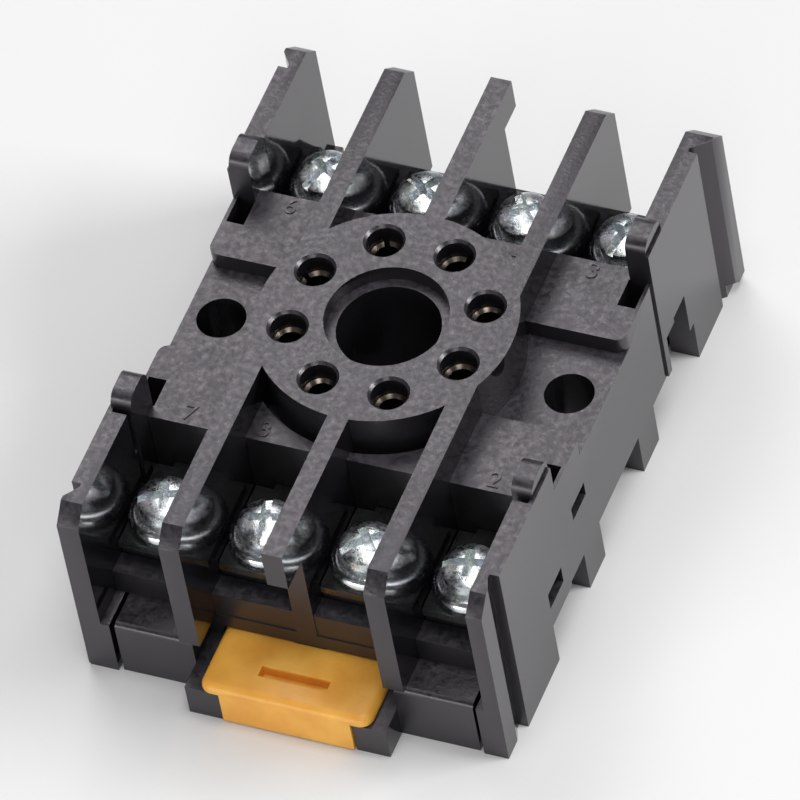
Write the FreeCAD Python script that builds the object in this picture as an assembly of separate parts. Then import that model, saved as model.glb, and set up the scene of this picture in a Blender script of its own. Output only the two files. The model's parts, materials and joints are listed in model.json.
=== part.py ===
import FreeCAD, Part
import math
import os

from FreeCAD import Matrix, Placement, Rotation, Vector

# Eight-pin plug-in relay socket for a 35 mm rail or two panel screws, in millimetres.
# X runs across the five barrier ribs, +Y to the rear, +Z up. The origin is on the
# axis of the plug bore, at the plane on which the base stands.

# Overall body
body_height = 21.0
end_wall_half_width = 20.0
middle_step = 0.2
rib_half_length = 28.4

# Barrier ribs
rib_pitch = 9.6
rib_thickness = 1.95
rib_end_chamfer = 1.65
end_wall_thickness = 1.9
centre_rib_past_ledge = 0.1
centre_rib_rear_past_ledge = 1.0
nose_front_reach = 27.7
nose_rear_reach = 28.3
nose_front_depth = 4.3
nose_rear_depth = 3.4

# Plug side: raised disc, bore and pin holes
disc_radius = 11.8
disc_groove_width = 0.8
bore_radius = 4.7
bore_wall = 1.6
bore_rim_radius = 5.6
bore_rim_depth = 1.6
key_width = 1.8
key_depth = 0.9
key_top_drop = 6.0
pin_circle_diameter = 17.45
pin_hole_radius = 1.65
pin_hole_chamfer = 0.25
pin_count = 8

# Levels below the top plane
panel_drop = 3.6
floor_drop = 5.4
strip_top_drop = 9.3
ledge_drop = 12.0

# Plan lines, as distances from the X axis
floor_half_length = 5.4
panel_half_length = 13.4
panel_corner_round = 1.0
pocket_near = 9.2
pocket_depth = 6.0
pocket_width = 1.7
ear_near = 12.2
ear_length = 3.7
ear_rise = 1.45
ear_round = 1.2
ear_gap = 0.5
ear_thickness = 2.15
sheet_thickness = 0.45
terminal_setback = 5.95
ledge_setback = 2.95
ledge_width = 2.2

# Interlocking steps on the outer faces of the end walls
step_channel_near = 24.6
step_channel_width = 1.7
step_channel_floor = 0.4
step_channel_depth = 0.9
flange_right_front = -0.4
flange_right_rear = 0.75
flange_left_front = 0.15
flange_left_rear = 0.1

# Housing shell
shell_floor = 1.6
cavity_side_wall = 2.8
cavity_end_wall = 1.4
mount_hole_spacing = 33.0
mount_hole_radius = 2.25
mount_column_wall = 1.05
fit_gap = 0.1

# Snap windows and side slots
window_near = 13.6
window_length = 3.2
window_height = 1.9
window_top_drop = 12.1
rear_notch_near = 13.0
rear_notch_length = 4.6
rear_notch_top_drop = 11.4
snap_length = 2.0
snap_height = 1.3
snap_top_drop = 12.4
snap_reach = 1.2
side_slot_near = 6.4
side_slot_length = 3.1
side_slot_height = 1.6
side_slot_top_drop = 9.0
side_slot_depth = 1.4

# Base
rail_width = 35.0
rail_slack = 0.4
rail_centre = 0.8
plate_underside = 4.7
plate_thickness = 1.6
block_side_gap = 0.4
block_end_inset = 0.2
block_round = 0.6
foot_near = 4.9
foot_length = 3.8
foot_thickening = 0.8
lip_inset = 1.9
lip_reach = 1.3
lip_thickness = 1.2
lip_top = 3.4

# Terminals
strip_thickness = 0.8
strip_side_gap = 0.46
strip_back_gap = 0.8
strip_front_reach = 3.85
neck_half_width = 1.75
arm_width = 3.0
collar_radius = 2.3
sleeve_radius = 1.6
sleeve_wall = 0.4
sleeve_top_drop = 1.9
sleeve_bottom_drop = 13.0
sleeve_slit = 0.5
sleeve_mouth = 0.3
pedestal_hole_radius = 1.9
pedestal_hole_floor = 0.7
shank_tip_gap = 0.3

# Terminal screws and domed clamp washers
shank_radius = 1.4
thread_clearance = 0.05
head_rim_gap = 0.25
head_height = 1.8
head_side_height = 1.3
slot_width = 0.75
slot_depth = 0.8
cross_width = 0.85
cross_length = 3.0
cross_depth = 1.4
washer_hole_clearance = 0.15
washer_side_gap = 0.21
washer_thickness = 0.6
washer_rim_width = 0.8
washer_height = 1.2
washer_edge_height = 0.35
washer_foot_width = 0.35
slot_angles = (38, 12, 75, 128, 150, 62, 20, 104)

# Rail latch and its spring
latch_half_width = 8.1
latch_front = 31.2
latch_plate_top = 4.55
latch_plate_thickness = 0.9
latch_corner_round = 1.2
latch_edge_round = 0.8
latch_nose_half_width = 6.2
latch_nose_depth = 4.0
latch_ground_gap = 0.15
latch_gap = 0.15
driver_slot_half_length = 3.25
driver_slot_width = 1.15
driver_slot_inset = 2.35
driver_slot_depth = 1.2
latch_block_length = 1.7
latch_hook_reach = 1.4
latch_hook_lead = 0.5
latch_floor = 2.0
guide_thickness = 1.4
guide_inset = 0.2
guide_height = 3.5
window_half_width = 1.6
post_half_width = 1.2
post_inset = 0.1
post_thickness = 0.8
post_height = 2.4
spring_radius = 0.95
spring_wire = 0.35
spring_coils = 4.5
spring_end_gap = 0.05

# Levels and lines that follow from the sizes above
mid_half_width = end_wall_half_width - middle_step
rib_half = rib_thickness / 2
panel_z = body_height - panel_drop
floor_z = body_height - floor_drop
strip_top = body_height - strip_top_drop
strip_bottom = strip_top - strip_thickness
ledge_z = body_height - ledge_drop
base_top = plate_underside + plate_thickness
wall_inner = end_wall_half_width - end_wall_thickness
foot_inner = wall_inner - foot_thickening
ear_far = ear_near + ear_length
bar_near = ear_far + ear_gap
terminal_distance = panel_half_length + terminal_setback
ledge_near = terminal_distance + ledge_setback
ledge_far = ledge_near + ledge_width
centre_rib_front_reach = ledge_far + centre_rib_past_ledge
centre_rib_rear_reach = ledge_far + centre_rib_rear_past_ledge
block_half_width = foot_inner - block_side_gap
block_half_length = rib_half_length - block_end_inset
lip_half_width = block_half_width - lip_inset
column_radius = mount_hole_radius + mount_column_wall
bore_wall_radius = bore_radius + bore_wall
cavity_top = floor_z - shell_floor
cavity_half_length = panel_half_length - cavity_end_wall
pin_radius = pin_circle_diameter / 2
neck_inner_reach = cavity_half_length - arm_width
recess_half = (rail_width + rail_slack) / 2
recess_front = rail_centre - recess_half
recess_rear = rail_centre + recess_half
inner_channel = rib_pitch / 2
outer_channel = (rib_pitch + rib_half + wall_inner) / 2
inner_channel_half = rib_pitch / 2 - rib_half
outer_channel_half = (wall_inner - rib_pitch - rib_half) / 2
narrow_half = min(inner_channel_half, outer_channel_half)
strip_half_width = narrow_half - strip_side_gap
strip_front = terminal_distance + strip_front_reach
strip_back = panel_half_length + strip_back_gap
washer_radius = narrow_half - washer_side_gap
washer_flat_radius = washer_radius - washer_rim_width
head_radius = washer_flat_radius - head_rim_gap
clamp_top = strip_top + washer_height
shank_bottom = base_top + pedestal_hole_floor + shank_tip_gap
latch_nose_back = latch_front - latch_nose_depth
driver_slot_front = latch_front - driver_slot_inset
guide_half_width = latch_half_width + guide_thickness
guide_front = latch_front - guide_inset
post_front = ledge_far - post_inset
top_room = 2.0

# Terminals in their numbered order: channel side, row, and the pin that each one feeds
inner, outer = (inner_channel, inner_channel_half), (outer_channel, outer_channel_half)
terminals = (
    (1, -1, inner),
    (1, -1, outer),
    (1, 1, outer),
    (1, 1, inner),
    (-1, 1, inner),
    (-1, 1, outer),
    (-1, -1, outer),
    (-1, -1, inner),
)


def box(x0, x1, y0, y1, z0, z1):
    x0, x1 = sorted((x0, x1))
    y0, y1 = sorted((y0, y1))
    return Part.makeBox(x1 - x0, y1 - y0, z1 - z0, Vector(x0, y0, z0))


def post(radius, z0, z1, x=0.0, y=0.0):
    return Part.makeCylinder(radius, z1 - z0, Vector(x, y, z0))


def joined(shapes):
    return shapes[0].multiFuse(shapes[1:]).removeSplitter()


def profile_along_x(points, x0, x1):
    """A closed outline of (y, z) points, drawn out from x0 to x1."""
    corners = [Vector(x0, y, z) for y, z in points]
    face = Part.Face(Part.makePolygon(corners + corners[:1]))
    return face.extrude(Vector(x1 - x0, 0, 0))


def profile_along_z(points, z0, z1):
    """A closed outline of (x, y) points, drawn up from z0 to z1."""
    corners = [Vector(x, y, z0) for x, y in points]
    face = Part.Face(Part.makePolygon(corners + corners[:1]))
    return face.extrude(Vector(0, 0, z1 - z0))


def corners():
    """The four corners of the socket as signs of X and Y."""
    return [(side, row) for side in (-1, 1) for row in (-1, 1)]


def pin_places():
    """Pin centres in the terminals' order, counter-clockwise from the front."""
    step = 360.0 / pin_count
    angles = [math.radians(-90 + step / 2 + step * pin) for pin in range(pin_count)]
    return [(pin_radius * math.cos(a), pin_radius * math.sin(a)) for a in angles]


def long_rib(x0, x1, bottom):
    """A barrier rib from end to end, with both top corners cut at 45 degrees."""
    end = rib_half_length
    cut = rib_end_chamfer
    points = [
        (-end, bottom),
        (end, bottom),
        (end, body_height - cut),
        (end - cut, body_height),
        (cut - end, body_height),
        (-end, body_height - cut),
    ]
    return profile_along_x(points, x0, x1)


def centre_rib():
    """The middle rib: a web with a hanging nose at each end."""
    web = box(-rib_half, rib_half, -centre_rib_front_reach, centre_rib_rear_reach, base_top, body_height)
    front = box(-rib_half, rib_half, -nose_front_reach, 0, body_height - nose_front_depth, body_height)
    rear = box(-rib_half, rib_half, 0, nose_rear_reach, body_height - nose_rear_depth, body_height)
    return joined([web, front, rear])


def end_wall(side, row):
    """One outer end wall down to the mounting plane, with its thin sheet towards the middle."""
    end = rib_half_length
    cut = rib_end_chamfer
    low_start = -recess_front if row < 0 else recess_rear
    points = [
        (row * bar_near, plate_underside),
        (row * low_start, plate_underside),
        (row * low_start, 0),
        (row * end, 0),
        (row * end, body_height - cut),
        (row * (end - cut), body_height),
        (row * bar_near, body_height),
    ]
    wall = profile_along_x(points, side * wall_inner, side * end_wall_half_width)
    sheet = box(
        side * (end_wall_half_width - sheet_thickness),
        side * end_wall_half_width,
        row * ear_near,
        row * (bar_near + rib_half),
        plate_underside,
        body_height,
    )
    foot = box(
        side * foot_inner,
        side * (wall_inner + rib_half),
        row * low_start,
        row * end,
        0,
        base_top,
    )
    return joined([wall, sheet, foot])


def end_wall_step(side, row):
    """What the end wall loses outside: a channel that slopes up to the flange, and the flange's set-back."""
    far = rib_half_length + top_room
    channel_far = step_channel_near + step_channel_width
    flange = {
        (1, -1): flange_right_front,
        (1, 1): flange_right_rear,
        (-1, -1): flange_left_front,
        (-1, 1): flange_left_rear,
    }[(side, row)]
    face = end_wall_half_width
    channel_bottom = face - step_channel_depth
    plan = [
        (side * channel_bottom, row * step_channel_near),
        (side * (face + top_room), row * step_channel_near),
        (side * (face + top_room), row * channel_far),
        (side * (face + flange), row * channel_far),
        (side * channel_bottom, row * (step_channel_near + step_channel_floor)),
    ]
    channel = profile_along_z(plan, -top_room, body_height + top_room)
    if flange < 0:
        set_back = box(
            side * (face + flange),
            side * (face + top_room),
            row * step_channel_near,
            row * far,
            -top_room,
            body_height + top_room,
        )
        return [channel, set_back], None
    end = rib_half_length
    cut = rib_end_chamfer
    points = [
        (row * step_channel_near, 2 * flange),
        (row * channel_far, 2 * flange),
        (row * (channel_far + flange), flange),
        (row * end, flange),
        (row * end, body_height - cut),
        (row * (end - cut), body_height),
        (row * step_channel_near, body_height),
    ]
    outside = profile_along_x(points, side * (face - rib_half), side * (face + flange))
    return [channel], outside.cut(channel)


def ear(side, row):
    """A rounded clip ear that stands a little above the ribs."""
    y0, y1 = sorted((row * ear_near, row * ear_far))
    outer_face = end_wall_half_width - sheet_thickness / 2
    top = body_height + ear_rise
    block = box(
        side * (end_wall_half_width - ear_thickness),
        side * outer_face,
        y0,
        y1,
        strip_bottom,
        top,
    )
    edges = []
    for edge in block.Edges:
        ends = [vertex.Point for vertex in edge.Vertexes]
        along_x = abs(ends[0].x - ends[1].x) > rib_half
        if along_x and min(ends[0].z, ends[1].z) > top - fit_gap:
            edges.append(edge)
    return block.makeFillet(ear_round, edges)


def side_openings():
    """Snap windows, open rear notches, side slots and clip pockets."""
    cuts = []
    beyond = end_wall_half_width + top_room
    for side, row in corners():
        near, length = (window_near, window_length) if row < 0 else (rear_notch_near, rear_notch_length)
        top_drop = window_top_drop if row < 0 else rear_notch_top_drop
        top = body_height - top_drop
        bottom = top - window_height if row < 0 else plate_underside - top_room
        inside = side * (wall_inner - fit_gap)
        cuts.append(box(inside, side * beyond, row * near, row * (near + length), bottom, top))
        pocket_outer = end_wall_half_width - sheet_thickness - fit_gap
        cuts.append(
            box(
                side * (pocket_outer - pocket_width),
                side * pocket_outer,
                row * pocket_near,
                row * ear_near,
                panel_z - pocket_depth,
                panel_z + top_room,
            )
        )
    slot_top = body_height - side_slot_top_drop
    for side in (-1, 1):
        cuts.append(
            box(
                side * (mid_half_width - side_slot_depth),
                side * beyond,
                -side_slot_near,
                -(side_slot_near + side_slot_length),
                slot_top - side_slot_height,
                slot_top,
            )
        )
    return cuts


def panel_band(row):
    """The raised panels of one row, with rounded corners towards the mounting floor."""
    band = box(
        -mid_half_width,
        mid_half_width,
        row * floor_half_length,
        row * panel_half_length,
        floor_z - shell_floor,
        panel_z,
    )
    edges = []
    for edge in band.Edges:
        ends = [vertex.Point for vertex in edge.Vertexes]
        upright = abs(ends[0].z - ends[1].z) > rib_half
        if upright and abs(abs(ends[0].y) - floor_half_length) < fit_gap:
            edges.append(edge)
    return band.makeFillet(panel_corner_round, edges)


def disc_groove():
    """A groove round the disc, kept to the four inner channels."""
    ring = post(disc_radius + disc_groove_width, floor_z, panel_z + fit_gap)
    ring = ring.cut(post(disc_radius, floor_z - fit_gap, panel_z + top_room))
    groove = []
    for side, row in corners():
        groove.append(
            ring.common(
                box(
                    side * rib_half,
                    side * (rib_pitch - rib_half),
                    row * floor_half_length,
                    row * panel_half_length,
                    floor_z,
                    body_height,
                )
            )
        )
    return groove


def cavity():
    """The hollow under the mounting floor, round the bore wall and the screw columns."""
    half_x = mid_half_width - cavity_side_wall
    hollow = box(-half_x, half_x, -cavity_half_length, cavity_half_length, base_top - top_room, cavity_top)
    solid = [post(bore_wall_radius, 0, body_height)]
    for side in (-1, 1):
        solid.append(post(column_radius, 0, body_height, side * mount_hole_spacing / 2))
        solid.append(
            box(
                side * mount_hole_spacing / 2,
                side * mid_half_width,
                -column_radius,
                column_radius,
                0,
                body_height,
            )
        )
    return hollow.cut(joined(solid))


def strip_passages():
    """Slots through the end walls of the hollow, one for each contact strip."""
    cuts = []
    for side, row, (centre, half) in terminals:
        x = side * centre
        reach = neck_half_width + fit_gap
        cuts.append(
            box(
                x - reach,
                x + reach,
                row * (cavity_half_length - rib_half),
                row * (panel_half_length + fit_gap),
                base_top - top_room,
                strip_top + fit_gap,
            )
        )
    return cuts


def plug_holes():
    """The keyed bore, its rim and the eight pin holes."""
    rim_floor = body_height - bore_rim_depth
    above = body_height + top_room
    cuts = [post(bore_radius, base_top - top_room, above), post(bore_rim_radius, rim_floor, above)]
    key_reach = bore_radius + key_depth
    cuts.append(
        box(-key_width / 2, key_width / 2, -key_reach, 0, base_top - top_room, body_height - key_top_drop)
    )
    for x, y in pin_places():
        cuts.append(post(pin_hole_radius, cavity_top - top_room, above, x, y))
        cuts.append(
            Part.makeCone(
                pin_hole_radius,
                pin_hole_radius + pin_hole_chamfer,
                pin_hole_chamfer,
                Vector(x, y, body_height - pin_hole_chamfer),
            )
        )
    return cuts


def make_housing():
    parts = [
        box(
            -mid_half_width,
            mid_half_width,
            -panel_half_length,
            panel_half_length,
            base_top,
            floor_z,
        ),
        post(disc_radius, floor_z - shell_floor, body_height),
        centre_rib(),
        panel_band(-1),
        panel_band(1),
    ]
    for side in (-1, 1):
        parts.append(
            box(
                side * wall_inner,
                side * mid_half_width,
                -bar_near,
                bar_near,
                plate_underside,
                floor_z,
            )
        )
        middle = side * rib_pitch
        parts.append(long_rib(middle - rib_half, middle + rib_half, base_top))
    for row in (-1, 1):
        parts.append(
            box(
                -wall_inner - rib_half,
                wall_inner + rib_half,
                row * ledge_near,
                row * ledge_far,
                base_top,
                ledge_z,
            )
        )
    for side, row in corners():
        parts.append(end_wall(side, row))
        parts.append(ear(side, row))
    housing = joined(parts)
    cuts = [cavity()] + strip_passages() + plug_holes() + side_openings() + disc_groove()
    flanges = []
    for side, row in corners():
        steps, flange = end_wall_step(side, row)
        cuts += steps
        if flange:
            flanges.append(flange)
    for side in (-1, 1):
        cuts.append(post(mount_hole_radius, 0, body_height, side * mount_hole_spacing / 2))
    housing = housing.cut(cuts)
    return joined([housing] + flanges)


def pedestal(side, row, channel):
    """The seat under one terminal strip, with room for the screw's tip."""
    centre, half = channel
    x = side * centre
    reach = half - fit_gap
    seat = box(
        x - reach,
        x + reach,
        row * (panel_half_length + fit_gap),
        row * (ledge_near - fit_gap),
        base_top,
        strip_bottom,
    )
    tongue = box(
        x - neck_half_width,
        x + neck_half_width,
        row * cavity_half_length,
        row * (panel_half_length + rib_half),
        base_top,
        strip_bottom,
    )
    shape = joined([seat, tongue])
    hole = post(pedestal_hole_radius, base_top + pedestal_hole_floor, strip_top, x, row * terminal_distance)
    return shape.cut(hole)


def snap(side, row):
    """A snap that stands out of the outer seat into its window."""
    window_middle = window_near + window_length / 2
    if row > 0:
        window_middle = rear_notch_near + rear_notch_length / 2
    top = body_height - snap_top_drop
    return box(
        side * (wall_inner - rib_half),
        side * (wall_inner + snap_reach),
        row * (window_middle - snap_length / 2),
        row * (window_middle + snap_length / 2),
        top - snap_height,
        top,
    )


def block(row):
    """One end block of the base, rounded along its outer top edge."""
    inner_y = -recess_front if row < 0 else recess_rear
    shape = box(-block_half_width, block_half_width, row * inner_y, row * block_half_length, 0, base_top)
    edges = []
    for edge in shape.Edges:
        ends = [vertex.Point for vertex in edge.Vertexes]
        along_x = abs(ends[0].x - ends[1].x) > rib_half
        outside = abs(abs(ends[0].y) - block_half_length) < fit_gap
        if along_x and outside and ends[0].z > plate_underside:
            edges.append(edge)
    return shape.makeFillet(block_round, edges)


def latch_room():
    """What the front block loses for the rail latch."""
    slide_half = latch_half_width + latch_gap
    beyond = guide_front + top_room
    back = recess_front + latch_gap
    plate_room = box(-slide_half, slide_half, -beyond, back, latch_floor, plate_underside)
    front_back = -ledge_far - fit_gap
    front_room = box(-guide_half_width, guide_half_width, -beyond, front_back, guide_height, body_height)
    nose_half = latch_nose_half_width + latch_gap
    nose_room = box(-nose_half, nose_half, -beyond, -latch_nose_back + latch_gap, -top_room, body_height)
    return [plate_room, front_room, nose_room]


def latch_guides():
    """The two blocks beside the latch's nose."""
    nose_half = latch_nose_half_width + latch_gap
    guides = []
    for side in (-1, 1):
        guides.append(
            box(side * nose_half, side * guide_half_width, -guide_front, -ledge_far, 0, guide_height)
        )
    return guides


def make_base():
    plate = box(
        -(wall_inner - fit_gap),
        wall_inner - fit_gap,
        recess_front,
        recess_rear,
        plate_underside,
        base_top,
    )
    parts = [plate, block(1)]
    front = block(-1).cut(latch_room())
    parts += [front] + latch_guides()
    stop = box(
        -post_half_width,
        post_half_width,
        -post_front,
        -post_front + post_thickness,
        latch_floor - fit_gap,
        latch_floor + post_height,
    )
    parts.append(stop)
    for row in (-1, 1):
        parts.append(
            box(
                -mid_half_width,
                mid_half_width,
                row * foot_near,
                row * (foot_near + foot_length),
                0,
                plate_underside,
            )
        )
    parts.append(
        box(
            -lip_half_width,
            lip_half_width,
            recess_rear - lip_reach,
            recess_rear + rib_half,
            lip_top - lip_thickness,
            lip_top,
        )
    )
    for side, row, channel in terminals:
        parts.append(pedestal(side, row, channel))
    for side, row in corners():
        parts.append(snap(side, row))
    base = joined(parts)
    cuts = []
    for side in (-1, 1):
        cuts.append(post(mount_hole_radius, -top_room, body_height, side * mount_hole_spacing / 2))
    return base.cut(cuts)


def make_contact(side, row, channel, pin):
    """A terminal strip with its neck, slanted arm and rolled pin sleeve.

    The sleeve is closed at its foot and slit only where it stands in its pin hole.
    """
    centre, half = channel
    x = side * centre
    px, py = pin
    pad = box(
        x - strip_half_width,
        x + strip_half_width,
        row * strip_back,
        row * strip_front,
        strip_bottom,
        strip_top,
    )
    neck = box(
        x - neck_half_width,
        x + neck_half_width,
        row * neck_inner_reach,
        row * (strip_back + rib_half),
        strip_bottom,
        strip_top,
    )
    start = Vector(x, row * (cavity_half_length - arm_width / 2), strip_bottom)
    run = Vector(px, py, strip_bottom) - start
    arm = Part.makeBox(run.Length, arm_width, strip_thickness, Vector(0, -arm_width / 2, 0))
    arm.Placement = Placement(start, Rotation(Vector(1, 0, 0), run))
    collar = post(collar_radius, strip_bottom, strip_top, px, py)
    sleeve_top = body_height - sleeve_top_drop
    sleeve_bottom = body_height - sleeve_bottom_drop
    sleeve = post(sleeve_radius, sleeve_bottom, sleeve_top, px, py)
    shape = joined([pad, neck, arm, collar, sleeve])
    inside = sleeve_radius - sleeve_wall
    cuts = [post(inside, sleeve_bottom + sleeve_wall, sleeve_top + top_room, px, py)]
    cuts.append(
        Part.makeCone(inside, inside + sleeve_mouth, sleeve_mouth, Vector(px, py, sleeve_top - sleeve_mouth))
    )
    outward = Vector(px, py, 0)
    slit_bottom = cavity_top + fit_gap
    slit = Part.makeBox(
        sleeve_radius + fit_gap,
        sleeve_slit,
        sleeve_top - slit_bottom + top_room,
        Vector(0, -sleeve_slit / 2, 0),
    )
    slit.Placement = Placement(Vector(px, py, slit_bottom), Rotation(Vector(1, 0, 0), outward))
    cuts.append(slit)
    cuts.append(post(shank_radius + thread_clearance, 0, body_height, x, row * terminal_distance))
    return shape.cut(cuts)


def make_screw(side, row, channel, angle):
    """A pan head screw with a slot and a cross recess."""
    x = side * channel[0]
    y = row * terminal_distance
    dome_top = clamp_top + head_height
    side_top = clamp_top + head_side_height
    start = Vector(0, 0, clamp_top)
    rim = Vector(head_radius, 0, clamp_top)
    shoulder = Vector(head_radius, 0, side_top)
    half_way = math.sqrt(0.5)
    middle = Vector(head_radius * half_way, 0, side_top + (dome_top - side_top) * half_way)
    crown = Vector(0, 0, dome_top)
    edges = [
        Part.LineSegment(start, rim).toShape(),
        Part.LineSegment(rim, shoulder).toShape(),
        Part.Arc(shoulder, middle, crown).toShape(),
        Part.LineSegment(crown, start).toShape(),
    ]
    head = Part.Face(Part.Wire(edges)).revolve(Vector(0, 0, 0), Vector(0, 0, 1), 360)
    shank = post(shank_radius, shank_bottom, clamp_top + head_side_height / 2)
    screw = joined([head, shank])
    cuts = [
        box(
            -head_radius,
            head_radius,
            -slot_width / 2,
            slot_width / 2,
            dome_top - slot_depth,
            dome_top + top_room,
        )
    ]
    for turn in (0, 90):
        arm = box(
            -cross_length / 2,
            cross_length / 2,
            -cross_width / 2,
            cross_width / 2,
            dome_top - cross_depth,
            dome_top + top_room,
        )
        arm.rotate(Vector(0, 0, 0), Vector(0, 0, 1), turn)
        cuts.append(arm)
    screw = screw.cut(cuts)
    screw.rotate(Vector(0, 0, 0), Vector(0, 0, 1), angle)
    screw.translate(Vector(x, y, 0))
    return screw


def make_washer(side, row, channel):
    """A round washer, flat under the screw head and rounded down to its rim."""
    x = side * channel[0]
    y = row * terminal_distance
    hole = shank_radius + washer_hole_clearance
    underside = clamp_top - washer_thickness
    edge_top = strip_top + washer_edge_height
    half_way = math.sqrt(0.5)
    crown = Vector(washer_flat_radius, 0, clamp_top)
    bulge = Vector(
        washer_flat_radius + washer_rim_width * half_way,
        0,
        edge_top + (clamp_top - edge_top) * half_way,
    )
    edge = Vector(washer_radius, 0, edge_top)
    points = [
        edge,
        Vector(washer_radius, 0, strip_top),
        Vector(washer_radius - washer_foot_width, 0, strip_top),
        Vector(washer_flat_radius, 0, underside),
        Vector(hole, 0, underside),
        Vector(hole, 0, clamp_top),
        crown,
    ]
    edges = [Part.LineSegment(a, b).toShape() for a, b in zip(points, points[1:])]
    edges.append(Part.Arc(crown, bulge, edge).toShape())
    washer = Part.Face(Part.Wire(edges)).revolve(Vector(0, 0, 0), Vector(0, 0, 1), 360)
    washer.translate(Vector(x, y, 0))
    return washer


def make_latch():
    """The orange slide that locks the socket to the rail."""
    low = latch_plate_top - latch_plate_thickness
    hook_face = -recess_front
    back = hook_face + 2 * latch_gap
    block_front = back + latch_block_length
    plate = box(-latch_half_width, latch_half_width, -latch_front, -back, low, latch_plate_top)
    corner_edges = []
    for edge in plate.Edges:
        ends = [vertex.Point for vertex in edge.Vertexes]
        upright = abs(ends[0].z - ends[1].z) > latch_gap
        if upright and abs(ends[0].y + latch_front) < fit_gap:
            corner_edges.append(edge)
    plate = plate.makeFillet(latch_corner_round, corner_edges)
    half = latch_nose_half_width
    nose = box(-half, half, -latch_front, -latch_nose_back, latch_ground_gap, low + latch_gap)
    body = box(-half, half, -block_front, -back, latch_floor + latch_gap, low + latch_gap)
    hook_top = lip_top
    hook_low = latch_floor + latch_gap
    tip = hook_face - latch_hook_reach
    hook = profile_along_x(
        [
            (-back - latch_gap, hook_low),
            (-tip - latch_hook_lead, hook_low),
            (-tip, hook_low + latch_hook_lead),
            (-tip, hook_top),
            (-back - latch_gap, hook_top),
        ],
        -half,
        half,
    )
    latch = joined([plate, nose, body, hook])
    window = box(
        -window_half_width,
        window_half_width,
        -post_front - latch_gap,
        -block_front,
        low - latch_gap,
        latch_plate_top + top_room,
    )
    driver_slot = box(
        -driver_slot_half_length,
        driver_slot_half_length,
        -driver_slot_front,
        -driver_slot_front + driver_slot_width,
        latch_plate_top - driver_slot_depth,
        latch_plate_top + top_room,
    )
    latch = latch.cut([window, driver_slot])
    top_edges = []
    for edge in latch.Edges:
        ends = [vertex.Point for vertex in edge.Vertexes]
        if len(ends) < 2:
            continue
        along_x = abs(ends[0].x - ends[1].x) > latch_nose_half_width
        at_front = abs(ends[0].y + latch_front) < fit_gap and abs(ends[1].y + latch_front) < fit_gap
        if along_x and at_front and ends[0].z > low + latch_gap:
            top_edges.append(edge)
    return latch.makeFillet(latch_edge_round, top_edges)


def make_spring():
    """The compression spring between the base's post and the latch's block.

    Its coils are half circles, tilted to and fro, so that they meet in line.
    """
    start = -post_front + post_thickness + spring_end_gap
    stop = recess_front - 2 * latch_gap - latch_block_length - spring_end_gap
    rise = (stop - start - spring_wire) / (2 * spring_coils)
    tilt = rise / 2 / spring_radius
    halves = []
    for half in range(int(2 * spring_coils)):
        side = 1 if half % 2 == 0 else -1
        begin = Vector(side * spring_radius, 0, half * rise)
        section = Part.Face(Part.Wire(Part.makeCircle(spring_wire / 2, begin, Vector(0, 1, 0))))
        centre = Vector(0, 0, (half + 0.5) * rise)
        halves.append(section.revolve(centre, Vector(side * tilt, 0, 1), 180))
    spring = halves[0].multiFuse(halves[1:])
    spring.rotate(Vector(0, 0, 0), Vector(1, 0, 0), -90)
    middle_z = latch_floor + latch_gap + spring_radius + spring_wire / 2
    spring.translate(Vector(0, start + spring_wire / 2, middle_z))
    return spring


def export(name, shape):
    shape.exportStep("parts/" + name + ".step")
    print(name, len(shape.Solids), round(shape.Volume, 2), shape.isValid())


os.makedirs("parts", exist_ok=True)
export("upper_housing", make_housing())
export("base", make_base())
export("rail_latch", make_latch())
export("latch_spring", make_spring())
for number, ((side, row, channel), pin) in enumerate(zip(terminals, pin_places()), 1):
    export("contact_%d" % number, make_contact(side, row, channel, pin))
    export("terminal_screw_%d" % number, make_screw(side, row, channel, slot_angles[number - 1]))
    export("clamp_washer_%d" % number, make_washer(side, row, channel))
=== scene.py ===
import json
import math

import bmesh
import bpy
from bpy.props import FloatProperty, FloatVectorProperty, PointerProperty
from mathutils import Matrix, Vector


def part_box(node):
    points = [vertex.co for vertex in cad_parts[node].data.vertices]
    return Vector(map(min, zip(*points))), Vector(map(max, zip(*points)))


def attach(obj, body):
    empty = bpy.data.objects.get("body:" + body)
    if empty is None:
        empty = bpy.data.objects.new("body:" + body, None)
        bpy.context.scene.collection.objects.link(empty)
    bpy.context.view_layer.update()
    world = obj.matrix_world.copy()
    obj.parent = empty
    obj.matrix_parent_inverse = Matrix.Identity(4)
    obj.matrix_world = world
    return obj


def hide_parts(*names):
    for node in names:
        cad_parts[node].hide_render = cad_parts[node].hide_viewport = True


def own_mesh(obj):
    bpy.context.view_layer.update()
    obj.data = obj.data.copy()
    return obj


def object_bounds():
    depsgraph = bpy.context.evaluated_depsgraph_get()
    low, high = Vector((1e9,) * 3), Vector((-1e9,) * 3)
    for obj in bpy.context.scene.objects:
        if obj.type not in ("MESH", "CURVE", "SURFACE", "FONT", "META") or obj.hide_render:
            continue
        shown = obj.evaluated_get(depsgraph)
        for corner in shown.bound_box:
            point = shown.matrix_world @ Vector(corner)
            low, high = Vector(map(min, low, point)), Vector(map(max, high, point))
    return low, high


bl_info = {
    "name": "Relay Socket Finishes",
    "version": (1, 0, 0),
    "blender": (4, 5, 0),
    "location": "3D View > Sidebar > Relay Socket",
    "description": "Finishes a plug-in relay socket and sets it on a plain studio floor",
    "category": "Object",
}

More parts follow.
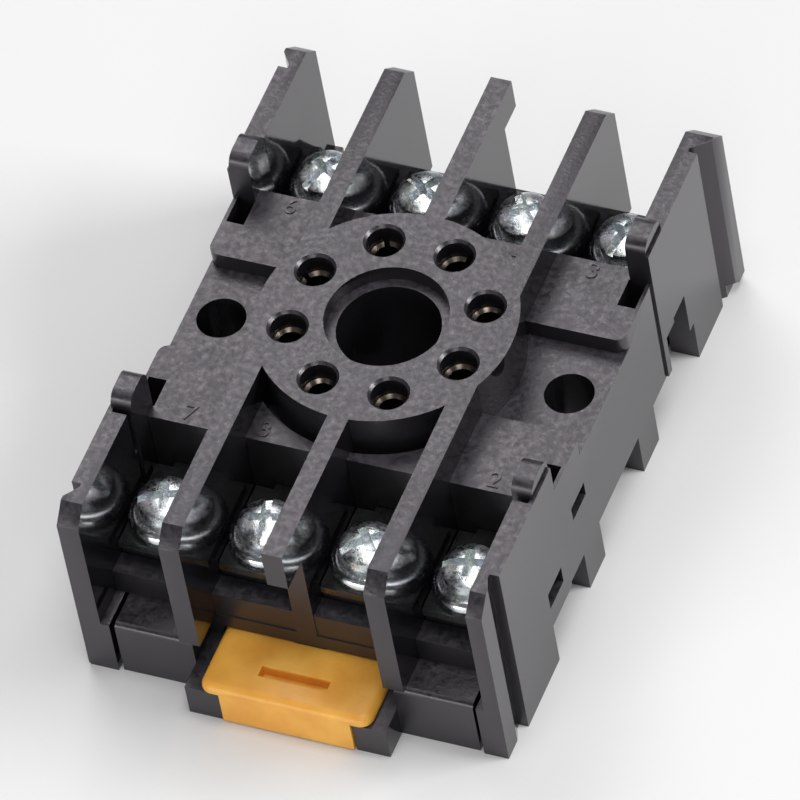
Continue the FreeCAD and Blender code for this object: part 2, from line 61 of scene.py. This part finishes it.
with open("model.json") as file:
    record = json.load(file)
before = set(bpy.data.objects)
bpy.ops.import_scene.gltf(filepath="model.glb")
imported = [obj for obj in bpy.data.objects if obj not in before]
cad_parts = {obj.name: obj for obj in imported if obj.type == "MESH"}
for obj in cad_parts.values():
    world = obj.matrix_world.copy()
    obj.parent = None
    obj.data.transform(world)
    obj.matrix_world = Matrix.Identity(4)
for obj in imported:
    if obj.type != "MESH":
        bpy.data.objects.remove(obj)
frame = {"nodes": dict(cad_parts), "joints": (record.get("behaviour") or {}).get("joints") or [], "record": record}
CAD_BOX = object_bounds()
NODES = frame["nodes"]
BODIES = frame["record"]["behaviour"]["bodies"]
NODE_BODY = {node: body for body, nodes in BODIES.items() for node in nodes}
MOUNTS = {mount["name"]: Vector(mount["pos_m"]) for mount in frame["record"]["mounts"]}
TERMINALS = range(1, 9)
MILLIMETRE = 0.001

# How softened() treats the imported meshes. An edge shorter than four rounds stays sharp.
SAME_POINT = 0.001 * MILLIMETRE
FLAT_UNDER = math.radians(1)
SMOOTH_UNDER = math.radians(12)
SHARP_FROM, SHARP_TO = math.radians(35), math.radians(100)
ROUND_STEPS = 3
SHORTEST_IN_ROUNDS = 4

# The colour sockets of a Mix node, which shares its names with the sockets for numbers and vectors.
MIX_FACTOR, MIX_FIRST, MIX_SECOND, MIX_COLOUR = 0, 6, 7, 2

# How much of the normal lies along Z where a face starts to count as a top, and where it fully
# does, and the same along Y for the faces at the front and the rear.
TOP_FACES = (0.4, 0.9)
END_FACES = (0.6, 0.9)

# The part of a noise's range that is stretched over the whole range.
CRISP = (0.35, 0.65)
GENTLE = (0.3, 0.7)

# A digit's height as a share of its font size.
DIGIT_SHARE = 0.69

# The level of the disc, which the camera is set out from.
DISC_TOP = 21 * MILLIMETRE

# Each light's place, its size across and up, and the setting that holds its power.
LIGHTS = {
    "key light": ((-0.36, 0.48, 0.76), (0.45, 0.45), "key"),
    "top light": ((0.12, -0.02, 0.95), (0.45, 0.45), "top"),
    "side light": ((0.85, 0.3, 0.6), (0.45, 0.45), "side"),
    "front light": ((0.4, -0.7, 0.7), (0.4, 0.4), "front"),
    "low light": ((-0.35, -0.95, 0.2), (0.7, 0.3), "low"),
}


class Value:
    """One output of a shader node, for use in Python expressions."""

    def __init__(self, graph, socket):
        self.graph = graph
        self.socket = socket

    def maths(self, operation, first, second):
        return self.graph.node("ShaderNodeMath", {"operation": operation}, {0: first, 1: second})

    def __add__(self, other):
        return self.maths("ADD", self, other)

    def __radd__(self, other):
        return self.maths("ADD", other, self)

    def __sub__(self, other):
        return self.maths("SUBTRACT", self, other)

    def __rsub__(self, other):
        return self.maths("SUBTRACT", other, self)

    def __mul__(self, other):
        return self.maths("MULTIPLY", self, other)

    def __abs__(self):
        return self.graph.node("ShaderNodeMath", {"operation": "ABSOLUTE"}, {0: self})


class Finish:
    """A material under construction, with the Principled shader that it ends in."""

    def __init__(self, name):
        self.material = bpy.data.materials.new(name)
        self.material.use_nodes = True
        self.tree = self.material.node_tree
        self.tree.nodes.clear()
        output = self.tree.nodes.new("ShaderNodeOutputMaterial")
        self.shader = self.tree.nodes.new("ShaderNodeBsdfPrincipled")
        self.tree.links.new(self.shader.outputs["BSDF"], output.inputs["Surface"])
        self.place = self.node("ShaderNodeTexCoord", output="Object")

    def node(self, kind, settings=None, values=None, output=0):
        """Adds a node: its settings first, then the values or links of its sockets."""
        made = self.tree.nodes.new(kind)
        for name, value in (settings or {}).items():
            if name == "stops":
                ramp = made.color_ramp.elements
                while len(ramp) < len(value):
                    ramp.new(0.5)
                for stop, (position, colour) in zip(ramp, value):
                    stop.position = position
                    stop.color = (*colour, 1.0)
            else:
                setattr(made, name, value)
        for name, value in (values or {}).items():
            self.feed(made.inputs[name], value)
        return Value(self, made.outputs[output])

    def feed(self, socket, value):
        if isinstance(value, Value):
            self.tree.links.new(value.socket, socket)
        elif hasattr(value, "__len__") and len(value) == 3 and socket.type == "RGBA":
            socket.default_value = (*value, 1.0)
        else:
            socket.default_value = value

    def surface(self, **values):
        """Feeds the Principled shader's sockets, named with spaces as underscores."""
        for name, value in values.items():
            self.feed(self.shader.inputs[name.replace("_", " ")], value)

    def noise(self, size, detail=2.0, roughness=0.5):
        """Noise whose patches are about size metres across, from 0 to 1."""
        values = {"Vector": self.place, "Scale": 1 / size, "Detail": detail, "Roughness": roughness}
        return self.node("ShaderNodeTexNoise", {}, values)

    def stretch(self, value, low, high, to_low=0.0, to_high=1.0):
        """Maps the range from low to high on to to_low to to_high, and stops at its ends."""
        values = {
            "Value": value, "From Min": low, "From Max": high, "To Min": to_low, "To Max": to_high,
        }
        return self.node("ShaderNodeMapRange", {"clamp": True}, values)

    def mix(self, factor, first, second, blend="MIX"):
        settings = {"data_type": "RGBA", "blend_type": blend}
        values = {MIX_FACTOR: factor, MIX_FIRST: first, MIX_SECOND: second}
        return self.node("ShaderNodeMix", settings, values, output=MIX_COLOUR)

    def facing(self, axis):
        """How far the surface faces along the object's X, Y or Z, from -1 to 1."""
        normal = self.node("ShaderNodeTexCoord", output="Normal")
        return self.node("ShaderNodeSeparateXYZ", {}, {0: normal}, output=axis)

    def bump(self, height, distance):
        """A normal for a surface that stands up by distance where height is 1."""
        values = {"Height": height, "Distance": distance, "Strength": 1.0}
        return self.node("ShaderNodeBump", {}, values)


class PlasticSettings(bpy.types.PropertyGroup):
    """The black moulding's colour and grain."""

    colour: FloatVectorProperty(
        name="Black", description="Colour of the black moulding", subtype="COLOR",
        default=(0.014, 0.0133, 0.016),
    )
    grain: FloatProperty(
        name="Grain", description="Size of the moulded grain", unit="LENGTH",
        default=0.35 * MILLIMETRE,
    )
    grain_depth: FloatProperty(
        name="Grain Depth", description="Depth of the moulded grain", unit="LENGTH",
        default=0.03 * MILLIMETRE,
    )
    face_roughness: FloatProperty(
        name="Top Roughness", description="Roughness of the top faces", default=0.42
    )
    wall_roughness: FloatProperty(
        name="Wall Roughness", description="Roughness of the ribs' and walls' sides", default=0.09
    )
    end_roughness: FloatProperty(
        name="End Roughness", description="Roughness of the faces towards the front and the rear",
        default=0.38,
    )
    mottle: FloatProperty(
        name="Mottle", description="Size of the small pale speckles on the top faces",
        unit="LENGTH", default=0.55 * MILLIMETRE,
    )
    cloud: FloatProperty(
        name="Cloud", description="Size of the broad pale patches", unit="LENGTH",
        default=7 * MILLIMETRE,
    )
    dark_share: FloatProperty(
        name="Dark Share",
        description="Brightness of the walls and dark patches, as a share of the colour",
        default=0.6,
    )
    # The pale speckles are random tone and also painted light: they lie only on the top faces.
    light_share: FloatProperty(
        name="Light Share", description="Brightness of the pale speckles, as a share of the colour",
        default=2.2,
    )
    edge_round: FloatProperty(
        name="Edge Round", description="Rounding of the moulded edges", unit="LENGTH",
        default=0.14 * MILLIMETRE,
    )


class LatchSettings(bpy.types.PropertyGroup):
    """The rail latch's colour."""

    colour: FloatVectorProperty(
        name="Orange", description="Colour of the latch's plastic", subtype="COLOR",
        default=(0.97, 0.5, 0.08),
    )
    roughness: FloatProperty(
        name="Roughness", description="Roughness of the latch's plastic", default=0.38
    )
    glow_depth: FloatProperty(
        name="Glow Depth", description="How far light goes into the latch's plastic", unit="LENGTH",
        default=1.5 * MILLIMETRE,
    )


class MetalSettings(bpy.types.PropertyGroup):
    """The terminals' metals."""

    zinc: FloatVectorProperty(
        name="Zinc", description="Colour of the bright zinc plate", subtype="COLOR",
        default=(0.72, 0.76, 0.76),
    )
    # Far darker than bare tin: painted shade for the strips deep in the terminal wells.
    tin: FloatVectorProperty(
        name="Tin", description="Colour of the tinned contact strips", subtype="COLOR",
        default=(0.13, 0.14, 0.135),
    )
    # Darkened well below bare brass: painted shade for the sleeves down in the pin holes.
    brass: FloatVectorProperty(
        name="Brass", description="Colour of the pin sleeves", subtype="COLOR",
        default=(0.24, 0.2, 0.165),
    )
    tin_level: FloatProperty(
        name="Tin Level", description="Height up to which the contacts are tinned", unit="LENGTH",
        default=12.5 * MILLIMETRE,
    )
    tint: FloatProperty(
        name="Tint", description="Strength of the plate's rainbow tint", default=0.35
    )
    head_roughness: FloatProperty(
        name="Head Roughness",
        description="Roughness of the screw heads where they are most scuffed",
        default=0.5,
    )
    head_scuff: FloatProperty(
        name="Head Scuff", description="Depth of the scuffs on the screw heads", unit="LENGTH",
        default=0.06 * MILLIMETRE,
    )
    washer_roughness: FloatProperty(
        name="Washer Roughness", description="Roughness of the washers where they are most scuffed",
        default=0.36,
    )
    washer_scuff: FloatProperty(
        name="Washer Scuff", description="Depth of the scuffs on the washers", unit="LENGTH",
        default=0.005 * MILLIMETRE,
    )
    edge_round: FloatProperty(
        name="Metal Edge Round", description="Rounding of the screws' and washers' edges",
        unit="LENGTH", default=0.07 * MILLIMETRE,
    )


class NumeralSettings(bpy.types.PropertyGroup):
    """The raised terminal numbers."""

    height: FloatProperty(
        name="Numeral Height", description="Height of the numerals", unit="LENGTH",
        default=1.7 * MILLIMETRE,
    )
    relief: FloatProperty(
        name="Relief", description="How far the numerals stand up", unit="LENGTH",
        default=0.1 * MILLIMETRE,
    )
    inset: FloatProperty(
        name="Inset", description="From the panel's end to the numerals' near edge", unit="LENGTH",
        default=0.35 * MILLIMETRE,
    )
    inner_place: FloatProperty(
        name="Inner Place", description="How far from the middle the inner numerals stand",
        unit="LENGTH", default=7.3 * MILLIMETRE,
    )
    outer_place: FloatProperty(
        name="Outer Place", description="How far from the middle the outer numerals stand",
        unit="LENGTH", default=14.4 * MILLIMETRE,
    )
    panel_level: FloatProperty(
        name="Panel Level", description="Height of the panels that carry the numerals",
        unit="LENGTH", default=17.4 * MILLIMETRE,
    )
    panel_end: FloatProperty(
        name="Panel End", description="Distance of the panels' ends from the X axis", unit="LENGTH",
        default=13.4 * MILLIMETRE,
    )


class StageSettings(bpy.types.PropertyGroup):
    """Floor, lights and camera."""

    floor_size: FloatProperty(
        name="Floor", description="Side of the floor", unit="LENGTH", default=6.0
    )
    floor_colour: FloatVectorProperty(
        name="Floor Colour", description="Colour of the floor", subtype="COLOR",
        default=(0.8, 0.8, 0.8),
    )
    distance: FloatProperty(
        name="Distance", description="From the camera to the disc", unit="LENGTH", default=1.0757
    )
    azimuth: FloatProperty(
        name="Azimuth", description="Camera's turn about Z", subtype="ANGLE",
        default=math.radians(30.02),
    )
    elevation: FloatProperty(
        name="Elevation", description="Camera's height angle", subtype="ANGLE",
        default=math.radians(49.79),
    )
    roll: FloatProperty(
        name="Roll", description="Camera's turn about its own view", subtype="ANGLE",
        default=math.radians(11.5),
    )
    lens: FloatProperty(name="Lens", description="Focal length in millimetres", default=554.2)
    aim_right: FloatProperty(
        name="Aim Right", description="How far the view's middle lies right of the disc's",
        unit="LENGTH", default=1.179 * MILLIMETRE,
    )
    aim_down: FloatProperty(
        name="Aim Down", description="How far the view's middle lies below the disc's",
        unit="LENGTH", default=7.302 * MILLIMETRE,
    )
    sky: FloatProperty(
        name="Sky", description="Strength of the light from all round", default=0.13
    )
    key: FloatProperty(
        name="Key Light", description="Power of the light above the rear left", default=2.8
    )
    top: FloatProperty(
        name="Top Light", description="Power of the light overhead", default=3.6
    )
    side: FloatProperty(
        name="Side Light", description="Power of the light at the right", default=7.0
    )
    front: FloatProperty(
        name="Front Light", description="Power of the light at the front right", default=1.5
    )
    low: FloatProperty(
        name="Low Light", description="Power of the low light in front", default=3.2
    )


def moulded_black(name, shade=1.0):
    """Black moulding: mottled and matt on top, satin at its ends, polished on its upright walls. Only its top
    faces take the pale speckles, which are random tone and also painted light from above, so the tops come out
    lighter than the walls.
    """
    look = bpy.context.scene.socket_plastic
    finish = Finish(name)
    mottle = finish.noise(look.mottle, detail=3.0, roughness=0.6)
    cloud = finish.noise(look.cloud, detail=2.0)
    upward = finish.stretch(finish.facing("Z"), *TOP_FACES)
    dark = tuple(channel * look.dark_share * shade for channel in look.colour)
    # light is the pale speckle colour: random tone, and painted light on the top faces.
    light = tuple(channel * look.light_share * shade for channel in look.colour)
    speckle = finish.stretch(mottle * 0.75 + cloud * 0.25, *CRISP)
    # Painted light: the top faces mix dark and pale speckles while the walls keep only the dark, so the tops are
    # painted lighter, as if lit from above.
    colour = finish.mix(upward, dark, finish.mix(speckle, dark, light))
    endways = finish.stretch(abs(finish.facing("Y")), *END_FACES)
    upright = finish.stretch(endways, 0, 1, look.wall_roughness, look.end_roughness)
    unevenness = (mottle - 0.5) * finish.stretch(upward, 0, 1, 0.05, 0.6)
    roughness = upright + (look.face_roughness - upright) * upward + unevenness
    grain = finish.noise(look.grain, detail=3.0)
    height = grain * finish.stretch(upward, 0, 1, 0.08, 1.0)
    relief = finish.bump(height, look.grain_depth)
    finish.surface(Base_Color=colour, Roughness=roughness, Normal=relief)
    finish.surface(IOR=1.7, Specular_Tint=(1.0, 0.93, 1.0))
    return finish.material


def latch_orange():
    """Orange plastic that lets a little light in, with deeper clouds in its colour."""
    look = bpy.context.scene.socket_latch
    finish = Finish("latch orange")
    cloud = finish.noise(4 * MILLIMETRE, detail=3.0)
    deepening = (0.86, 0.74, 0.6)
    deep = tuple(channel * factor for channel, factor in zip(look.colour, deepening))
    colour = finish.mix(finish.stretch(cloud, *CRISP), deep, tuple(look.colour))
    grain = finish.noise(0.3 * MILLIMETRE, detail=2.0)
    roughness = look.roughness + (cloud - 0.5) * 0.2
    relief = finish.bump(grain, 0.012 * MILLIMETRE)
    finish.surface(Base_Color=colour, Roughness=roughness, Normal=relief)
    finish.surface(Subsurface_Weight=0.25, Subsurface_Radius=(1.0, 0.45, 0.1))
    finish.surface(Subsurface_Scale=look.glow_depth)
    return finish.material


def bright_zinc(name, roughest, scuff_depth):
    """Zinc plate with faint rainbow tints from its passivation."""
    look = bpy.context.scene.socket_metal
    finish = Finish(name)
    film = finish.noise(2.2 * MILLIMETRE, detail=2.0)
    green, silver = (0.62, 0.72, 0.66), (0.8, 0.82, 0.8)
    blue, violet = (0.62, 0.68, 0.8), (0.74, 0.66, 0.78)
    stops = [(0.3, green), (0.45, silver), (0.55, blue), (0.7, violet)]
    tint = finish.node("ShaderNodeValToRGB", {"stops": stops}, {0: film})
    colour = finish.mix(look.tint, tuple(look.zinc), tint)
    scuff = finish.noise(0.6 * MILLIMETRE, detail=4.0, roughness=0.7)
    roughness = finish.stretch(scuff, *GENTLE, 0.1, roughest)
    finish.surface(Base_Color=colour, Roughness=roughness, Normal=finish.bump(scuff, scuff_depth))
    finish.surface(Metallic=1.0)
    return finish.material


def stamped_strip():
    """Contact metal: tin on the strips and arms, bare brass up in the sleeves; both colours are painted much
    darker than bare metal, as painted shade deep in the wells and pin holes.
    """
    look = bpy.context.scene.socket_metal
    finish = Finish("stamped strip")
    stain = finish.noise(1.5 * MILLIMETRE, detail=4.0)
    level = finish.node("ShaderNodeSeparateXYZ", {}, {0: finish.place}, output="Z")
    bare = finish.stretch(level, look.tin_level, look.tin_level + MILLIMETRE)
    # Both metal colours are darkened as painted shade for the wells and pin holes they sit in.
    metal = finish.mix(bare, tuple(look.tin), tuple(look.brass))
    spots = finish.stretch(stain, *CRISP, 0.5, 1.0)
    colour = finish.mix(1.0, metal, spots, blend="MULTIPLY")
    roughness = finish.stretch(stain, *GENTLE, 0.38, 0.2)
    relief = finish.bump(stain, 0.01 * MILLIMETRE)
    finish.surface(Base_Color=colour, Roughness=roughness, Normal=relief)
    finish.surface(Metallic=1.0)
    return finish.material


def drawn_steel():
    """Spring wire with the fine streaks that drawing leaves."""
    finish = Finish("drawn steel")
    streak = finish.noise(0.2 * MILLIMETRE, detail=3.0)
    dark, light = (0.35, 0.35, 0.36), (0.6, 0.61, 0.63)
    colour = finish.mix(streak, dark, light)
    finish.surface(Base_Color=colour, Roughness=finish.stretch(streak, *GENTLE, 0.2, 0.4))
    finish.surface(Metallic=1.0)
    return finish.material


def dress(node, material):
    """Gives a CAD node its finish."""
    slots = NODES[node].data.materials
    slots.clear()
    slots.append(material)


def make_object(name, mesh, material):
    made = bpy.data.objects.new(name, mesh)
    bpy.context.scene.collection.objects.link(made)
    mesh.materials.clear()
    mesh.materials.append(material)
    return made


def stand_for(piece, node):
    """The piece takes a CAD node's place on its body."""
    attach(piece, NODE_BODY[node])
    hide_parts(node)


def softened(node, name, material, radius):
    """Puts a copy with rounded edges in a node's place, shaded smooth where it curves."""
    mesh = NODES[node].data.copy()
    mesh.name = name
    work = bmesh.new()
    work.from_mesh(mesh)
    bmesh.ops.remove_doubles(work, verts=work.verts, dist=SAME_POINT)
    bmesh.ops.dissolve_limit(work, angle_limit=FLAT_UNDER, verts=work.verts, edges=work.edges)
    sharp = []
    for edge in work.edges:
        if len(edge.link_faces) != 2 or edge.calc_length() < SHORTEST_IN_ROUNDS * radius:
            continue
        if edge.is_convex and SHARP_FROM < edge.calc_face_angle(0) < SHARP_TO:
            sharp.append(edge)
    rounded = bmesh.ops.bevel(
        work, geom=sharp, offset=radius, affect="EDGES", segments=ROUND_STEPS, profile=0.5,
        material=-1, clamp_overlap=True,
    )
    rounds = set(rounded["faces"])
    for face in work.faces:
        face.smooth = True
    for edge in work.edges:
        inside_round = rounds.issuperset(edge.link_faces)
        edge.smooth = inside_round or edge.calc_face_angle(0) < SMOOTH_UNDER
    work.to_mesh(mesh)
    work.free()
    stand_for(make_object(name, mesh, material), node)


class SOCKET_OT_mouldings(bpy.types.Operator):
    """Finish the black upper housing and base"""

    bl_idname = "socket.mouldings"
    bl_label = "Black Mouldings"

    def execute(self, context):
        edge_round = context.scene.socket_plastic.edge_round
        housing_black = moulded_black("housing black")
        softened("upper_housing", "housing_moulding", housing_black, edge_round)
        base_black = moulded_black("base black", shade=0.85)
        softened("base", "base_moulding", base_black, edge_round)
        return {"FINISHED"}


class SOCKET_OT_latch(bpy.types.Operator):
    """Finish the orange rail latch and its spring"""

    bl_idname = "socket.latch"
    bl_label = "Rail Latch"

    def execute(self, context):
        edge_round = context.scene.socket_plastic.edge_round
        softened("rail_latch", "latch_slide", latch_orange(), edge_round)
        spring = make_object("spring_wire", NODES["latch_spring"].data.copy(), drawn_steel())
        stand_for(spring, "latch_spring")
        slide = next(joint for joint in frame["joints"] if joint["name"] == "latch_slide")
        front_end = slide["deforming_nodes"][0]["fixed_end_y_m"]
        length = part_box("latch_spring")[1][1] - front_end
        travel = slide["range_m"][1]
        1 - travel / length
        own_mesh(spring)
        return {"FINISHED"}


class SOCKET_OT_terminals(bpy.types.Operator):
    """Finish the contacts, screws and clamp washers"""

    bl_idname = "socket.terminals"
    bl_label = "Terminals"

    def execute(self, context):
        look = context.scene.socket_metal
        head_zinc = bright_zinc("screw zinc", look.head_roughness, look.head_scuff)
        washer_zinc = bright_zinc("washer zinc", look.washer_roughness, look.washer_scuff)
        strip = stamped_strip()
        for number in TERMINALS:
            screw, washer = "terminal_screw_%d" % number, "clamp_washer_%d" % number
            softened(screw, "screw_%d" % number, head_zinc, look.edge_round)
            softened(washer, "washer_%d" % number, washer_zinc, look.edge_round)
            dress("contact_%d" % number, strip)
        return {"FINISHED"}


class SOCKET_OT_numerals(bpy.types.Operator):
    """Raise the terminal numbers on the panels"""

    bl_idname = "socket.numerals"
    bl_label = "Terminal Numbers"

    def execute(self, context):
        look = context.scene.socket_numerals
        # Painted shade: the numerals are painted darker than the panel (shade 0.7) to stand in for the shading of
        # their raised relief.
        black = moulded_black("numeral black", shade=0.7)
        for number in TERMINALS:
            place = MOUNTS["terminal_%d" % number]
            inner = abs(place.x) < look.inner_place
            across = math.copysign(look.inner_place if inner else look.outer_place, place.x)
            text = bpy.data.curves.new("numeral_%d" % number, "FONT")
            text.body = str(number)
            text.size = look.height / DIGIT_SHARE
            text.align_x = "CENTER"
            text.align_y = "CENTER"
            text.extrude = look.relief
            text.resolution_u = 4
            holder = bpy.data.objects.new("numeral text", text)
            context.scene.collection.objects.link(holder)
            context.view_layer.update()
            evaluated = holder.evaluated_get(context.evaluated_depsgraph_get())
            mesh = bpy.data.meshes.new_from_object(evaluated)
            bpy.data.objects.remove(holder)
            along = math.copysign(look.panel_end - look.inset - look.height / 2, place.y)
            mesh.transform(Matrix.Translation((across, along, look.panel_level)))
            piece = make_object("numeral_%d" % number, mesh, black)
            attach(piece, NODE_BODY["upper_housing"])
        return {"FINISHED"}


class SOCKET_OT_stage(bpy.types.Operator):
    """Set the floor, the lights and the camera"""

    bl_idname = "socket.stage"
    bl_label = "Studio Stage"

    def light(self, name, place, aim, size, power):
        """A white panel of light that faces the aim."""
        lamp = bpy.data.lights.new(name, "AREA")
        lamp.shape = "RECTANGLE"
        lamp.size, lamp.size_y = size
        lamp.energy = power
        made = bpy.data.objects.new(name, lamp)
        made.location = place
        made.rotation_euler = (aim - Vector(place)).to_track_quat("-Z", "Y").to_euler()
        bpy.context.scene.collection.objects.link(made)

    def camera(self, stage, disc):
        """The camera looks at the disc, a little off the picture's middle, and is rolled."""
        turn = Matrix.Rotation(stage.azimuth, 3, "Z")
        view = turn @ Vector((0, math.cos(stage.elevation), -math.sin(stage.elevation)))
        level = turn @ Vector((1, 0, 0))
        right = Matrix.Rotation(stage.roll, 3, view) @ level
        down = view.cross(right)
        lens = bpy.data.cameras.new("camera")
        lens.lens = stage.lens
        lens.clip_start, lens.clip_end = 0.01, 50
        made = bpy.data.objects.new("camera", lens)
        basis = Matrix((right, -down, -view)).transposed().to_4x4()
        place = disc - view * stage.distance + right * stage.aim_right + down * stage.aim_down
        made.matrix_world = Matrix.Translation(place) @ basis
        bpy.context.scene.collection.objects.link(made)
        bpy.context.scene.camera = made

    def execute(self, context):
        stage = context.scene.socket_stage
        low, high = CAD_BOX
        work = bmesh.new()
        bmesh.ops.create_grid(work, x_segments=1, y_segments=1, size=stage.floor_size / 2)
        mesh = bpy.data.meshes.new("floor")
        work.to_mesh(mesh)
        work.free()
        mesh.transform(Matrix.Translation((0, 0, low.z)))
        finish = Finish("pale floor")
        finish.surface(Base_Color=tuple(stage.floor_colour), Roughness=0.9)
        make_object("floor", mesh, finish.material)

        sky = bpy.data.worlds.new("sky")
        sky.use_nodes = True
        background = sky.node_tree.nodes["Background"].inputs
        background["Color"].default_value = (1, 1, 1, 1)
        background["Strength"].default_value = stage.sky
        context.scene.world = sky

        aim = Vector((0, 0, high.z / 2))
        for name, (place, size, power) in LIGHTS.items():
            self.light(name, place, aim, size, getattr(stage, power))
        self.camera(stage, Vector((0, 0, DISC_TOP)))
        context.scene.view_settings.view_transform = "Standard"
        return {"FINISHED"}


class SOCKET_PT_panel(bpy.types.Panel):
    """Lists the socket's operators and settings"""

    bl_idname = "SOCKET_PT_panel"
    bl_label = "Relay Socket"
    bl_space_type = "VIEW_3D"
    bl_region_type = "UI"
    bl_category = "Relay Socket"

    def draw(self, context):
        for operator in OPERATORS:
            self.layout.operator(operator.bl_idname)
        for name, group in SETTINGS.items():
            settings = getattr(context.scene, name)
            box = self.layout.box()
            for prop in group.__annotations__:
                box.prop(settings, prop)


SETTINGS = {
    "socket_plastic": PlasticSettings,
    "socket_latch": LatchSettings,
    "socket_metal": MetalSettings,
    "socket_numerals": NumeralSettings,
    "socket_stage": StageSettings,
}
OPERATORS = (
    SOCKET_OT_mouldings, SOCKET_OT_numerals, SOCKET_OT_latch, SOCKET_OT_terminals, SOCKET_OT_stage
)


def register():
    for group in SETTINGS.values():
        bpy.utils.register_class(group)
    for name, group in SETTINGS.items():
        setattr(bpy.types.Scene, name, PointerProperty(type=group))
    for operator in OPERATORS:
        bpy.utils.register_class(operator)
    bpy.utils.register_class(SOCKET_PT_panel)


def unregister():
    bpy.utils.unregister_class(SOCKET_PT_panel)
    for operator in reversed(OPERATORS):
        bpy.utils.unregister_class(operator)
    for name in SETTINGS:
        delattr(bpy.types.Scene, name)
    for group in SETTINGS.values():
        bpy.utils.unregister_class(group)


def main():
    register()
    bpy.ops.socket.mouldings()
    bpy.ops.socket.numerals()
    bpy.ops.socket.latch()
    bpy.ops.socket.terminals()
    bpy.ops.socket.stage()


if __name__ == "__main__":
    main()
